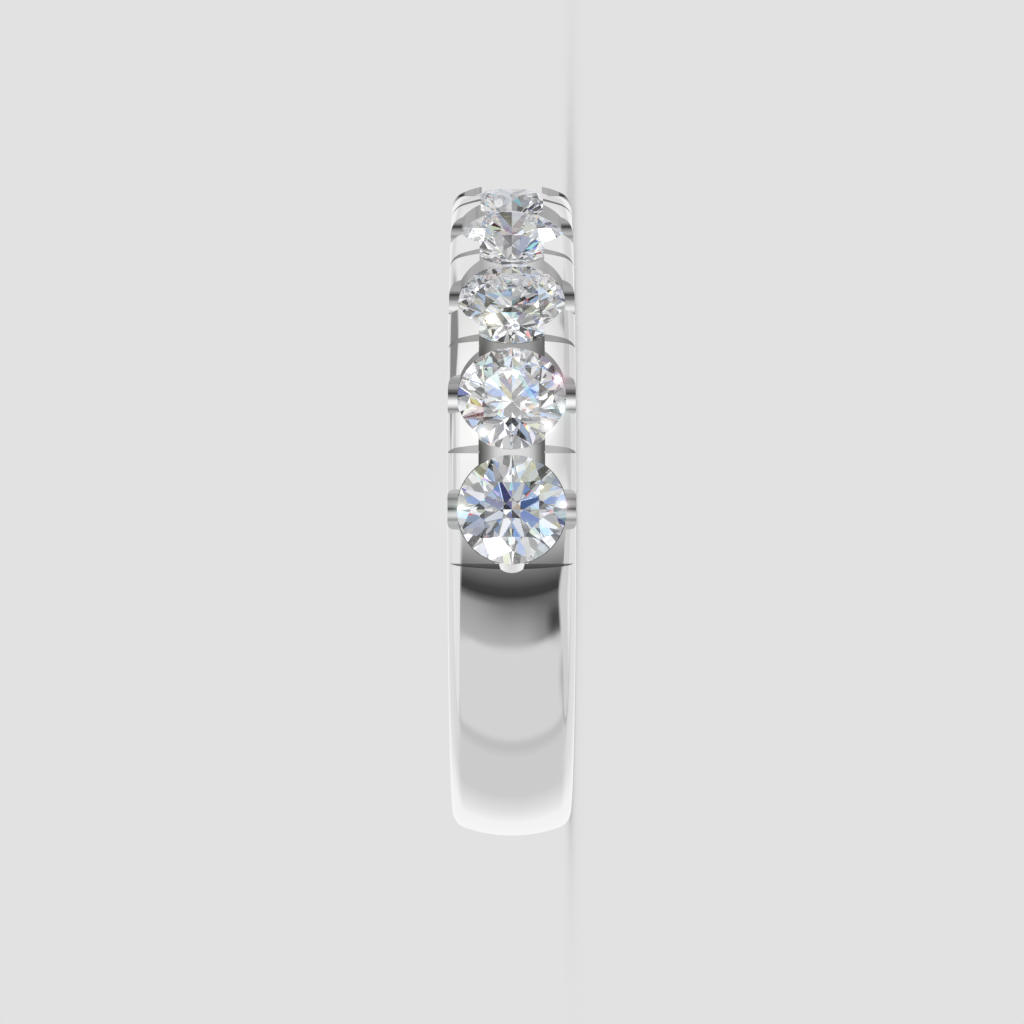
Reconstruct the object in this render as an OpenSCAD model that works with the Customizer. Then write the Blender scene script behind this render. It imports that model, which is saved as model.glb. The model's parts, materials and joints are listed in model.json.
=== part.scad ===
// Half-eternity ring: a domed band with a row of round brilliants in a castle setting.
// Millimetres. The ring lies on its side: the finger axis is +Z, the resting side face is z = 0,
// and the row of stones is centred on -Y. A depth is measured inwards from the crest of the dome.

/* [Band] */
// Diameter of the finger bore, US size 6
bore_d = 16.5; // [15:0.25:19]
// Thickness of the band from the bore to the crest of its dome
band_t = 2.25; // [2.2:0.05:2.6]
// Width of the band along the finger
band_w = 3.76; // [3.7:0.02:4.2]
// Radius of the dome across the band
crown_r = 4.6; // [4:0.1:8]
// Radius where the dome turns into the flat sides
corner_r = 0.55; // [0.4:0.05:0.7]
// Radius of the softened edges of the bore
bore_edge_r = 0.3; // [0.2:0.05:0.5]

/* [Stones] */
// Number of stones in the row
stone_count = 10; // [4:1:10]
// Angle from one stone to the next
stone_pitch = 19.4; // [19.3:0.1:20]
// Girdle diameter of a stone
stone_d = 3.2; // [3:0.05:3.2]
// Depth of the table below the crest
table_depth = 0.2; // [0.15:0.01:0.3]
// Width of the table as a share of the stone, corner to corner
table_share = 0.535; // [0.52:0.005:0.6]
// Slope of the bezel facets
crown_angle = 30.5; // [28:0.5:35]
// Slope of the pavilion mains
pavilion_angle = 40.75; // [40:0.25:41]
// Height of the girdle at its thickest points
girdle_h = 0.07; // [0.06:0.01:0.1]
// Length of a star facet as a share of its way from table to girdle
star_share = 0.5; // [0.4:0.05:0.6]
// Length of a lower girdle facet as a share of its way to the culet
lower_share = 0.77; // [0.7:0.01:0.85]

/* [Setting] */
// Gap between a girdle and the wall of its seat
seat_gap = 0.015; // [0.01:0.005:0.03]
// Gap between the underside of a girdle and the floor of its seat
seat_drop = 0.03; // [0.02:0.01:0.05]
// Diameter of the round hole under a stone
back_hole_d = 1.2; // [0.8:0.1:1.4]
// Radius of the U notch beside a stone
notch_r = 0.585; // [0.4:0.005:0.65]
// Depth of the centre of the U notch
notch_depth = 0.3; // [0.2:0.05:0.4]
// Width of the channel between the stones
channel_w = 1.94; // [1.6:0.02:2.1]
// Radius of the channel's round floor
channel_r = 2; // [1.4:0.1:3]
// Depth of the channel on its centre line
channel_depth = 0.8; // [0.6:0.02:0.9]
// Depth of the V cuts between the stones
cut_depth = 0.7; // [0.5:0.02:0.75]
// Depth of the two V cuts past the end stones
end_cut_depth = 0.49; // [0.4:0.01:0.6]
// Half of the angle of a V cut between two stones
cut_angle = 11.8; // [8:0.1:14]
// How far such a cut runs past the wall of the channel
cut_run_in = 0.02; // [0.01:0.01:0.1]
// Half of the angle of the two V cuts past the end stones
end_cut_angle = 9.5; // [8:0.1:14]
// Angle round the ring from an end stone to the V cut past it
end_cut_offset = 9.05; // [8.9:0.05:9.7]
// Radius of the drill that makes the relief past each end stone
relief_r = 0.545; // [0.4:0.005:0.6]
// Depth of that relief
relief_depth = 1.05; // [0.6:0.05:1.2]
// Distance of the middle of its mouth from the axis of the end stone
relief_offset = 1.32; // [1.2:0.01:1.4]
// Lean of its axis towards the culet
relief_lean = 14; // [0:1:20]

/* [Hidden] */
$fn = 96;
bore_r = bore_d / 2;
crest_r = bore_r + band_t;
half_w = band_w / 2;
stone_r = stone_d / 2;
over = 1;                       // how far a cutter runs past the metal
first_angle = -90 - (stone_count - 1) * stone_pitch / 2;
last_angle = -first_angle - 180;

// The dome's arc and the corner arc touch where both turn the same way
corner_x = half_w - corner_r;
corner_y = crest_r - crown_r + sqrt(pow(crown_r - corner_r, 2) - pow(corner_x, 2));
dome_x = corner_x * crown_r / (crown_r - corner_r);

// Brilliant, seen along its own axis: z is 0 at the crest and falls towards the culet
table_z = -table_depth;
table_r = table_share * stone_r;
crown_h = (stone_r - table_r) * tan(crown_angle);
girdle_top_z = table_z - crown_h;
girdle_bottom_z = girdle_top_z - girdle_h;
culet_z = girdle_bottom_z - stone_r * tan(pavilion_angle);
step = 22.5;                    // from a bezel facet to the star beside it
mid_step = step / 2;            // to the middle of a girdle facet
table_edge_r = table_r * cos(step);
star_r = table_edge_r + star_share * (stone_r - table_edge_r);
star_z = girdle_top_z + (stone_r - star_r * cos(step)) * tan(crown_angle);
lower_r = (1 - lower_share) * stone_r;
lower_z = girdle_bottom_z - (stone_r - lower_r * cos(step)) * tan(pavilion_angle);
scallop_share = (1 - cos(mid_step)) / cos(mid_step);
upper_dip = scallop_share * stone_r * (star_z - girdle_top_z) / (stone_r - star_r);
lower_rise = scallop_share * stone_r * (girdle_bottom_z - lower_z) / (stone_r - lower_r);

seat_r = stone_r + seat_gap;
seat_z = girdle_bottom_z - seat_drop;
back_hole_r = back_hole_d / 2;
cone_z = seat_z - (seat_r - back_hole_r) * tan(pavilion_angle);

function stone_angle(i) = first_angle + (i - 1) * stone_pitch;

// A place on the crest at an angle round the ring: +Z points outwards and X runs along the finger
module on_crest(angle)
    rotate([0, 0, angle]) translate([crest_r, 0, half_w]) rotate([0, 90, 0]) children();

// Section of the band on one side of the finger: X is the distance from the finger axis, Y runs along it
module band_section() {
    difference() {
        union() {
            translate([bore_r, -half_w]) square([corner_y - bore_r, band_w]);
            intersection() {
                translate([crest_r - crown_r, 0]) circle(crown_r);
                translate([bore_r, -dome_x]) square([band_t + over, 2 * dome_x]);
            }
            for (side = [-1, 1]) translate([corner_y, side * corner_x]) circle(corner_r);
        }
        for (side = [0, 1]) mirror([0, side]) bore_edge();
    }
}

// What the softened edge takes off a corner of the bore
module bore_edge()
    difference() {
        translate([bore_r - over, half_w - bore_edge_r]) square([over + bore_edge_r, bore_edge_r + over]);
        translate([bore_r + bore_edge_r, half_w - bore_edge_r]) circle(bore_edge_r);
    }

// Seat of one stone: a straight drill, a cone for the pavilion and a hole through to the finger
module seat()
    rotate_extrude()
        polygon([
            [0, over], [0, -band_t - over], [back_hole_r, -band_t - over],
            [back_hole_r, cone_z], [seat_r, seat_z], [seat_r, over]
        ]);

// U notch across both rails
module notch()
    rotate([90, 0, 90]) linear_extrude(height = band_w + 2 * over, center = true) {
        translate([0, -notch_depth]) circle(notch_r);
        translate([-notch_r, -notch_depth]) square([2 * notch_r, notch_depth + over]);
    }

// V cut of some length along the finger, about its middle
module v_cut(depth, half_angle, length) {
    mouth = (depth + over) * tan(half_angle);
    rotate([90, 0, 90]) linear_extrude(height = length, center = true)
        polygon([[0, -depth], [mouth, over], [-mouth, over]]);
}

// The two V cuts between neighbouring stones, one across each rail
module rail_cuts() {
    inner = channel_w / 2 - cut_run_in;
    length = half_w + over - inner;
    for (side = [-1, 1]) translate([side * (inner + length / 2), 0, 0]) v_cut(cut_depth, cut_angle, length);
}

// V cut across the whole band, past an end stone
module end_cut() v_cut(end_cut_depth, end_cut_angle, band_w + 2 * over);

// Round-bottomed channel from the first stone to the last
module channel()
    rotate([0, 0, first_angle]) rotate_extrude(angle = last_angle - first_angle)
        intersection() {
            translate([crest_r - channel_depth + channel_r, half_w]) circle(channel_r);
            translate([bore_r, half_w - channel_w / 2]) square([band_t + over, channel_w]);
        }

// Drilled relief past an end stone, side is -1 at the first and 1 at the last
module relief(side)
    translate([0, side * relief_offset, 0]) rotate([-side * relief_lean, 0, 0])
        translate([0, 0, -relief_depth]) cylinder(r = relief_r, h = relief_depth + over);

module band()
    color([0.86, 0.86, 0.87])
        difference() {
            translate([0, 0, half_w]) rotate_extrude() band_section();
            channel();
            for (i = [1:stone_count]) on_crest(stone_angle(i)) {
                seat();
                notch();
            }
            for (i = [1:stone_count - 1])
                on_crest(stone_angle(i) + stone_pitch / 2) rail_cuts();
            on_crest(first_angle - end_cut_offset) end_cut();
            on_crest(last_angle + end_cut_offset) end_cut();
            on_crest(first_angle) relief(-1);
            on_crest(last_angle) relief(1);
        }

function ring_point(r, angle, z) = [r * cos(angle), r * sin(angle), z];

// A round brilliant. Its 32 girdle corners lie in turn under a star, between, under a bezel and between.
module brilliant() {
    table = [for (k = [0:7]) ring_point(table_r, (2 * k + 1) * step, table_z)];
    star = [for (k = [0:7]) ring_point(star_r, 2 * k * step, star_z)];
    top = [for (k = [0:31]) ring_point(stone_r, k * mid_step, girdle_top_z - (k % 2) * upper_dip)];
    bottom = [for (k = [0:31]) ring_point(stone_r, k * mid_step, girdle_bottom_z + (k % 2) * lower_rise)];
    lower = [for (k = [0:7]) ring_point(lower_r, 2 * k * step, lower_z)];
    culet = [[0, 0, culet_z]];
    points = concat(table, star, top, bottom, lower, culet);
    // Where each ring of corners starts in the list, and how to name a corner of it
    star_at = len(table);
    top_at = star_at + len(star);
    bottom_at = top_at + len(top);
    lower_at = bottom_at + len(bottom);
    tip = lower_at + len(lower);
    function star_no(k) = star_at + k % 8;
    function top_no(k) = top_at + k % 32;
    function bottom_no(k) = bottom_at + k % 32;
    function lower_no(k) = lower_at + k % 8;
    // Table, bezels, stars, upper girdle facets, girdle, lower girdle facets and mains, clockwise from outside
    faces = concat(
        [[for (k = [7:-1:0]) k]],
        [for (k = [0:7]) [k, star_no(k + 1), top_no(4 * k + 2), star_no(k)]],
        [for (k = [0:7]) [k, star_no(k), (k + 7) % 8]],
        [for (k = [0:7]) [star_no(k), top_no(4 * k + 2), top_no(4 * k + 1), top_no(4 * k)]],
        [for (k = [0:7]) [star_no(k + 1), top_no(4 * k + 4), top_no(4 * k + 3), top_no(4 * k + 2)]],
        [for (k = [0:31]) [top_no(k), top_no(k + 1), bottom_no(k + 1), bottom_no(k)]],
        [for (k = [0:7]) [lower_no(k), bottom_no(4 * k), bottom_no(4 * k + 1), bottom_no(4 * k + 2)]],
        [for (k = [0:7])
            [lower_no(k + 1), bottom_no(4 * k + 2), bottom_no(4 * k + 3), bottom_no(4 * k + 4)]],
        [for (k = [0:7]) [tip, lower_no(k), bottom_no(4 * k + 2), lower_no(k + 1)]]
    );
    polyhedron(points = points, faces = faces);
}

module stone(i)
    color([0.93, 0.95, 1]) on_crest(stone_angle(i)) brilliant();

band();
for (i = [1:stone_count])
    stone(i);
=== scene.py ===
# %% [markdown]
# # A half-eternity ring, lying on its side
# The real ring is one band of white gold, polished like a mirror, with ten round brilliants set over
# half of its way round. This lesson opens the solids that were packed from CAD, makes the band again
# with Geometry Nodes so that its reflections are clean, and gives metal, stones, floor and light their
# finish. Sizes inside the node trees are in millimetres, and the tree ends in metres.

# %% Open the frame
import json
import math

import bpy
import numpy as np
from mathutils import Matrix, Vector


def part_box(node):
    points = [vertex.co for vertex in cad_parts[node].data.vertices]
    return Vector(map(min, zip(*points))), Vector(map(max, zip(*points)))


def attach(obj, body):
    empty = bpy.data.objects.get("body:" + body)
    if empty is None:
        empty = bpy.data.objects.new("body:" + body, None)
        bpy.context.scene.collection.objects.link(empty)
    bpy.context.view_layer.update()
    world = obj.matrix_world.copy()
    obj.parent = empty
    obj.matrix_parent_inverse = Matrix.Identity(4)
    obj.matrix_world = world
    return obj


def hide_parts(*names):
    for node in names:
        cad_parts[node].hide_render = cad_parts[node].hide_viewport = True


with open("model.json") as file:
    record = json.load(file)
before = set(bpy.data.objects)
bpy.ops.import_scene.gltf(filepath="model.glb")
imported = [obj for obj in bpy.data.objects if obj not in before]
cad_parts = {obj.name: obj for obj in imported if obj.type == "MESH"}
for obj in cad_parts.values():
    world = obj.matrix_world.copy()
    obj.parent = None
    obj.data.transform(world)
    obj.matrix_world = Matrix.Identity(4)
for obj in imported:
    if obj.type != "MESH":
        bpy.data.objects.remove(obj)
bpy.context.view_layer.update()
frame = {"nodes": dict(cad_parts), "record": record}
print("CAD nodes:", ", ".join(sorted(frame["nodes"])))

# %% [markdown]
# ## Sizes
# What can be measured is measured on the imported solids, so that the look never drifts from them: the
# width, the crest of the dome and the angle of each stone. The bore is read from the record. The sizes of
# the setting that a box can't give are those of the solids' source. They are named once, in millimetres.

# %% Measure the band and the row of stones
MM = 0.001
DEGREE = math.pi / 180
band_low, band_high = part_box("band")
half_width = round((band_high.z - band_low.z) / 2 / MM, 2)
crest = round(band_high.y / MM, 1)      # a mesh's corners lie within 0.01 mm of the true curve
bore = frame["record"]["mounts"][0]["dims"]["r_mm"]
stones = sorted((n for n in frame["nodes"] if n != "band"), key=lambda name: int(name.split("_")[1]))


def ring_angle(name):
    """Angle of a stone round the ring, in degrees."""
    low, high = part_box(name)
    middle = (low + high) / 2
    return math.degrees(math.atan2(middle.y, middle.x))


spread = ring_angle(stones[-1]) - ring_angle(stones[0])
pitch = round(spread / (len(stones) - 1), 1)
first_angle = -90 - (len(stones) - 1) / 2 * pitch       # the row is centred on -Y
last_angle = first_angle + (len(stones) - 1) * pitch
print(f"half width {half_width:.2f} mm, crest {crest:.2f} mm, bore {bore:.2f} mm")
print(f"{len(stones)} stones from {first_angle:.1f} to {last_angle:.1f} degrees, {pitch:.2f} apart")

# %% Sizes of the section and the setting, in millimetres and degrees
RING_STEPS = 360       # faces round the ring
ROUND_STEPS = 96       # faces round a drilled hole
crown = 4.6            # radius of the dome across the band
corner = 0.55          # radius between the dome and a flat side
soft_edge = 0.3        # radius of the bore's edges
seat = 1.615           # radius of a drilled seat
seat_floor = -0.738    # where the drill ends and the cone begins, from the crest
cone_slope = 40.75     # slope of the cone under a stone
back_hole = 0.6        # radius of the hole through to the finger
notch = 0.585          # radius of a U notch
notch_sink = 0.3       # depth of its centre
channel_width = 1.94   # of the channel between the stones
channel_round = 2.0    # radius of its floor
channel_sink = 0.8     # its depth on the middle line
cut_sink = 0.7         # depth of the V cuts between the stones
end_cut_sink = 0.49    # depth of the two past the end stones
cut_half_angle = 11.8  # of a V cut between stones, in degrees
cut_run_in = 0.02      # how far it runs past the wall of the channel
end_cut_half_angle = 9.5
end_cut_away = 9.05    # degrees from the axis of an end stone
relief = 0.545         # radius of the drill past each end stone
relief_sink = 1.05     # its depth
relief_away = 1.32     # from the axis of an end stone to the middle of its mouth
relief_lean = 14       # degrees that it leans towards the culet
clear = 1.0            # how far a cutter runs past the metal
print(f"the section has a dome of radius {crown} mm, and the channel is {channel_sink} mm deep")

# %% [markdown]
# ## Writing nodes as sums
# Node trees get long when each link is a line of its own. One small class wraps a node's output and
# overloads the signs, so that an expression adds its Math nodes by itself. Every node comes from one
# function, which takes its type, its settings and what goes into its sockets.

# %% A wire, with the signs that can be written on it
def sign(operation, turned=False):
    """A method for one sign of a sum. Turned, it's for a sum with the wire on the right."""
    if turned:
        return lambda wire, other: maths(operation, other, wire)
    return lambda wire, other: maths(operation, wire, other)


class Wire:
    """An output of a node, on which sums can be written."""
    __add__, __radd__ = sign("ADD"), sign("ADD", turned=True)
    __sub__, __rsub__ = sign("SUBTRACT"), sign("SUBTRACT", turned=True)
    __mul__, __rmul__ = sign("MULTIPLY"), sign("MULTIPLY", turned=True)
    __truediv__ = sign("DIVIDE")
    __lt__, __gt__ = sign("LESS_THAN"), sign("GREATER_THAN")

    def __init__(self, socket):
        self.socket = socket

    def __neg__(self):
        return maths("MULTIPLY", self, -1)

    def out(self, name):
        """Another output of the same node."""
        return Wire(self.socket.node.outputs[name])


def tree_of(*values):
    """The tree that the wires among some values belong to."""
    return next(value.socket.id_data for value in values if isinstance(value, Wire))


def maths(operation, *values):
    return add(tree_of(*values), "ShaderNodeMath", {"operation": operation}, dict(enumerate(values)))


# %% The function that adds nodes
def plug(tree, socket, value):
    """Links a wire to a socket, or sets its number."""
    if isinstance(value, Wire):
        tree.links.new(value.socket, socket)
    else:
        socket.default_value = value


def add(tree, kind, settings=None, inputs=None, out=0):
    """Adds a node and gives one of its outputs. Settings come first, then values or wires."""
    node = tree.nodes.new(kind)
    for name, value in (settings or {}).items():
        if name == "stops":
            elements = node.color_ramp.elements
            while len(elements) < len(value):
                elements.new(0.5)
            for element, (place, level) in zip(elements, value):
                element.position = place
                element.color = (level, level, level, 1) if isinstance(level, float) else (*level, 1)
        elif name == "choices":
            for _ in range(value - len(node.index_switch_items)):
                node.index_switch_items.new()
        else:
            setattr(node, name, value)
    for name, value in (inputs or {}).items():
        for one in value if isinstance(value, list) else [value]:
            plug(tree, node.inputs[name], one)
    return Wire(node.outputs[out])


# %% [markdown]
# ## The band
# A goldsmith turns the blank on a lathe and then cuts into it: ten drilled seats, a notch across both
# rails at each stone, a thin V between neighbours, a channel down the middle. The tree does the same:
# the section is swept round a circle, each cutter is made once in a frame where X points outwards and
# Z runs along the finger, instanced round the ring, and taken away with a Boolean. Hand-placed
# vertices would give the same shape, but nothing in it could then be changed.

# %% The section of the blank
centre_of_crown = crest - crown
corner_out = half_width - corner
corner_in = centre_of_crown + math.sqrt((crown - corner) ** 2 - corner_out ** 2)
dome_edge = corner_out * crown / (crown - corner)
turn = math.atan2(corner_out, corner_in - centre_of_crown)     # where dome and corner meet


def arc(centre, radius, start, end, steps):
    """Points on an arc in the plane of the section: distance from the finger axis, place along it."""
    angles = np.linspace(start, end, steps + 1)
    return [(centre[0] + radius * math.cos(a), centre[1] + radius * math.sin(a)) for a in angles]


quarter = math.pi / 2
DOME_STEPS, CORNER_STEPS, EDGE_STEPS = 12, 16, 8
upper_half = arc((centre_of_crown, 0), crown, 0, turn, DOME_STEPS)
upper_half += arc((corner_in, corner_out), corner, turn, quarter, CORNER_STEPS)[1:]
upper_half += arc(
    (bore + soft_edge, half_width - soft_edge), soft_edge, quarter, 2 * quarter, EDGE_STEPS)
section = upper_half + [(r, -z) for r, z in reversed(upper_half[1:])]
blank = bpy.data.meshes.new("band_section")
edges = [(i, (i + 1) % len(section)) for i in range(len(section))]
blank.from_pydata([(r - crest, z, 0) for r, z in section], edges, [])
print(f"section of {len(section)} points, dome to corner at {dome_edge:.2f} mm")

# %% The band's tree and its named sizes
def new_tree(name, inputs):
    """A tree with geometry in and out and named sizes. Gives the tree, and a wire for each input."""
    tree = bpy.data.node_groups.new(name, "GeometryNodeTree")
    tree.interface.new_socket("Geometry", in_out="INPUT", socket_type="NodeSocketGeometry")
    tree.interface.new_socket("Geometry", in_out="OUTPUT", socket_type="NodeSocketGeometry")
    for label, value in inputs.items():
        kind = "NodeSocketInt" if isinstance(value, int) else "NodeSocketFloat"
        tree.interface.new_socket(label, in_out="INPUT", socket_type=kind)
    source = tree.nodes.new("NodeGroupInput")
    return tree, {socket.name: Wire(socket) for socket in source.outputs if socket.name}


sizes = {
    "Crest radius": crest, "Half width": half_width, "Stones": len(stones), "First angle": first_angle,
    "Pitch": pitch, "Seat radius": seat, "Notch radius": notch, "Notch depth": notch_sink,
    "Channel depth": channel_sink, "Cut depth": cut_sink, "End cut depth": end_cut_sink,
    "Relief radius": relief, "Relief depth": relief_sink, "Relief distance": relief_away,
}
band_tree, size = new_tree("band_tree", sizes)
print("sizes of the tree:", ", ".join(sizes))

# %% [markdown]
# ## Cutters
# A drill, a graver and a saw each leave their own outline in the metal. So a cutter is an outline swept
# along a short path, with its ends closed. It marks its faces with its kind, and the Boolean hands
# that mark on to the cut. Ready-made cylinders would do for the holes, but not for the V cuts.

# %% Outlines, drawn by moving the points of a circle
PLAIN, SEAT, NOTCH, CUT, CHANNEL, RELIEF, END_CUT = range(7)


def node(kind, settings=None, inputs=None):
    """Adds a node to the band's tree."""
    return add(band_tree, kind, settings, inputs)


def vector(x=0.0, y=0.0, z=0.0):
    """Three numbers or wires as one vector."""
    return node("ShaderNodeCombineXYZ", {}, {"X": x, "Y": y, "Z": z})


def circle(steps, radius=1.0):
    return node("GeometryNodeCurvePrimitiveCircle", {}, {"Resolution": steps, "Radius": radius})


def follow(geometry, place):
    """Moves points to the places that a field gives."""
    return node("GeometryNodeSetPosition", {}, {"Geometry": geometry, "Position": place})


def choose(kind, values):
    """Gives each point the value at its own place in the list."""
    inputs = {str(i): value for i, value in enumerate(values)}
    inputs["Index"] = node("GeometryNodeInputIndex")
    return node("GeometryNodeIndexSwitch", {"data_type": kind, "choices": len(values)}, inputs)


def trough(radius, half_angle, centre, top, steps):
    """Outline of a round-bottomed trough: an arc about a centre on the X axis, closed above at top."""
    index = node("GeometryNodeInputIndex")
    angle = (1 - index * (2 / steps)) * half_angle
    floor_x = centre - radius * maths("COSINE", angle)
    floor_y = radius * maths("SINE", angle)
    wall = radius * math.sin(half_angle)
    last = index > steps + 1.5
    above = index > steps + 0.5
    x = above * top + (1 - above) * floor_x
    y = above * wall * (2 * last - 1) + (1 - above) * floor_y
    return follow(circle(steps + 3), vector(x, y))


# %% Paths, cutters along them, and copies of a cutter round the ring
def line(start, end):
    return node("GeometryNodeCurvePrimitiveLine", {}, {"Start": start, "End": end})


def across_band(start, end, steps):
    """A straight path along the finger, from one height over the middle plane to another."""
    path = line(vector(z=start), vector(z=end))
    return node("GeometryNodeResampleCurve", {}, {"Curve": path, "Count": steps + 1})


def mark(geometry, kind):
    """Marks faces with the kind of cut that they belong to."""
    return node("GeometryNodeStoreNamedAttribute", {"data_type": "INT", "domain": "FACE"}, {
        "Geometry": geometry, "Name": "cut_kind", "Value": kind})


def sweep(path, outline, kind, scale=1.0):
    """A closed cutter of that outline along a path. Its faces are marked with the kind of cut."""
    return mark(node("GeometryNodeCurveToMesh", {}, {
        "Curve": path, "Profile Curve": outline, "Scale": scale, "Fill Caps": True}), kind)


def instances(cutter, count, place, turn_by):
    """Copies of a cutter at the places and turns that fields give."""
    points = follow(node("GeometryNodeMeshLine", {"mode": "OFFSET"}, {"Count": count}), place)
    return node("GeometryNodeInstanceOnPoints", {}, {
        "Points": points, "Instance": cutter, "Rotation": vector(z=turn_by)})


def round_the_ring(cutter, count, start, step):
    """Copies of a cutter on the crest, turned so that its X axis points outwards."""
    angle = (start + node("GeometryNodeInputIndex") * step) * DEGREE
    rim = size["Crest radius"]
    place = vector(rim * maths("COSINE", angle), rim * maths("SINE", angle))
    return instances(cutter, count, place, angle)


# %% Sweep the blank
turned = mark(node("GeometryNodeCurveToMesh", {}, {
    "Curve": circle(RING_STEPS, size["Crest radius"]),
    "Profile Curve": node("GeometryNodeMeshToCurve", {}, {"Mesh": size["Geometry"]})}), PLAIN)
print("the blank is swept round", RING_STEPS, "steps")

# %% [markdown]
# ## Seats
# A setter drills each seat straight down to the stone's girdle, then cuts a cone for its pavilion, and
# a small hole lets light in from behind. One path carries all three: the circle's radius changes
# where the tool does. Three cutters would do it too, but they would meet in thin slivers.

# %% A seat's drill, cone and hole
bottom = bore - crest - clear
cone_end = seat_floor - (seat - back_hole) * math.tan(math.radians(cone_slope))
depths = [bottom, cone_end, seat_floor, clear]
seat_path = follow(
    node("GeometryNodeResampleCurve", {}, {"Curve": line((0, 0, 0), (1, 0, 0)), "Count": len(depths)}),
    choose("VECTOR", [Vector((x, 0, 0)) for x in depths]))
seat_scale = choose("FLOAT", [back_hole, back_hole, size["Seat radius"], size["Seat radius"]])
seat_cutter = sweep(seat_path, circle(ROUND_STEPS), SEAT, seat_scale)
print(f"a seat narrows from {seat} to {back_hole} mm over its cone")

# %% [markdown]
# ## Notches, V cuts, channel and reliefs
# These leave the prongs standing: the U notches open the sides of each stone, and the V cuts split the
# metal between two stones into a pair of prongs. Each outline is drawn by a formula, so that it
# follows the tree's inputs, which a drawn curve wouldn't.

# %% Notches and V cuts
beside = size["Half width"] + clear
NOTCH_STEPS = 48       # steps of its round floor
notch_outline = trough(size["Notch radius"], quarter, -size["Notch depth"], clear, NOTCH_STEPS)
notch_cutter = sweep(across_band(-beside, beside, 1), notch_outline, NOTCH)


def v_cutter(depth, half_angle, start, end, steps, kind):
    """A V along the finger. Its walls are cut in steps, so that each can have its own normal."""
    mouth = (depth + clear) * math.tan(math.radians(half_angle))
    corners = [vector(-depth, 0.0), vector(clear, -mouth), vector(clear, mouth)]
    outline = follow(circle(len(corners)), choose("VECTOR", corners))
    return sweep(across_band(start, end, steps), outline, kind)


CUT_STEPS = 24         # steps of a cut on its way across a rail, or across a third of the band
inner = channel_width / 2 - cut_run_in
rail_cutters = node("GeometryNodeJoinGeometry", {}, {"Geometry": [
    v_cutter(size["Cut depth"], cut_half_angle, inner, beside, CUT_STEPS, CUT),
    v_cutter(size["Cut depth"], cut_half_angle, -beside, -inner, CUT_STEPS, CUT)]})
end_cutter = v_cutter(
    size["End cut depth"], end_cut_half_angle, -beside, beside, 3 * CUT_STEPS, END_CUT)
print(f"the V cuts between stones begin {inner:.2f} mm from the middle plane")

# %% Channel and reliefs
CHANNEL_STEPS = 24
channel_half = math.asin(channel_width / 2 / channel_round)
channel_outline = trough(
    channel_round, channel_half, channel_round - size["Channel depth"], clear, CHANNEL_STEPS)
sweep_degrees = (size["Stones"] - 1) * size["Pitch"]
channel_path = node("GeometryNodeCurveArc", {"mode": "RADIUS"}, {
    "Resolution": RING_STEPS // 2, "Radius": size["Crest radius"],
    "Start Angle": size["First angle"] * DEGREE, "Sweep Angle": sweep_degrees * DEGREE})
channel_cutter = sweep(channel_path, channel_outline, CHANNEL)
drill_path = line(vector(-size["Relief depth"]), (clear, 0, 0))
drill = sweep(drill_path, circle(ROUND_STEPS, size["Relief radius"]), RELIEF)
print(f"the channel opens {2 * math.degrees(channel_half):.0f} degrees of its round floor")

# %% [markdown]
# ## Cutting the blank
# Instances on a few points do what a dividing head does on the bench: they repeat a cut at even steps.
# The two reliefs lean towards their end stones, so each gets an angle and a place of its own. The exact
# solver is slower than the fast one, but it leaves no holes where cuts meet.

# %% Place the cutters and take them away
count, first, step = size["Stones"], size["First angle"], size["Pitch"]
end_no = node("GeometryNodeInputIndex")
end_side = end_no * 2 - 1
end_angle = (first + end_no * sweep_degrees) * DEGREE
cosine, sine = maths("COSINE", end_angle), maths("SINE", end_angle)
rim, aside = size["Crest radius"], end_side * size["Relief distance"]
mouth_place = vector(rim * cosine - aside * sine, rim * sine + aside * cosine)
cutters = [
    channel_cutter,
    round_the_ring(seat_cutter, count, first, step),
    round_the_ring(notch_cutter, count, first, step),
    round_the_ring(rail_cutters, count - 1, first + step / 2, step),
    round_the_ring(end_cutter, 2, first - end_cut_away, sweep_degrees + 2 * end_cut_away),
    instances(drill, 2, mouth_place, end_angle + end_side * math.radians(relief_lean)),
]
cut_band = node("GeometryNodeMeshBoolean", {"operation": "DIFFERENCE", "solver": "EXACT"}, {
    "Mesh 1": turned, "Mesh 2": cutters})
print(len(cutters), "kinds of cutter")

# %% Into metres, realized and dressed
metal = bpy.data.materials.new("white_gold")
in_metres = node("GeometryNodeTransform", {}, {
    "Geometry": cut_band, "Translation": vector(z=size["Half width"] * MM), "Scale": (MM, MM, MM)})
realized = node("GeometryNodeRealizeInstances", {}, {"Geometry": in_metres})
dressed = node("GeometryNodeSetMaterial", {}, {"Geometry": realized, "Material": metal})
band_tree.links.new(dressed.socket, band_tree.nodes.new("NodeGroupOutput").inputs[0])
print("the tree has", len(band_tree.nodes), "nodes")

# %% Run the tree and keep its plain mesh
def put_in_scene(name, data):
    """A new object at the origin, in the scene."""
    piece = bpy.data.objects.new(name, data)
    bpy.context.scene.collection.objects.link(piece)
    return piece


def run_tree(name, start_mesh, tree, values):
    """Puts a tree on an object, sets its inputs by identifier, and keeps the result as a plain mesh."""
    piece = put_in_scene(name, start_mesh)
    modifier = piece.modifiers.new("tree", "NODES")
    modifier.node_group = tree
    for item in tree.interface.items_tree:
        if item.in_out == "INPUT" and item.name in values:
            modifier[item.identifier] = values[item.name]
    bpy.context.view_layer.update()
    depsgraph = bpy.context.evaluated_depsgraph_get()
    made = bpy.data.meshes.new_from_object(piece.evaluated_get(depsgraph))
    piece.modifiers.remove(modifier)
    piece.data = made
    made.name = name
    print(f"{name}: {len(made.vertices)} corners, {len(made.polygons)} faces")
    return piece


band = run_tree("white_gold_band", blank, band_tree, sizes)

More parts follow.
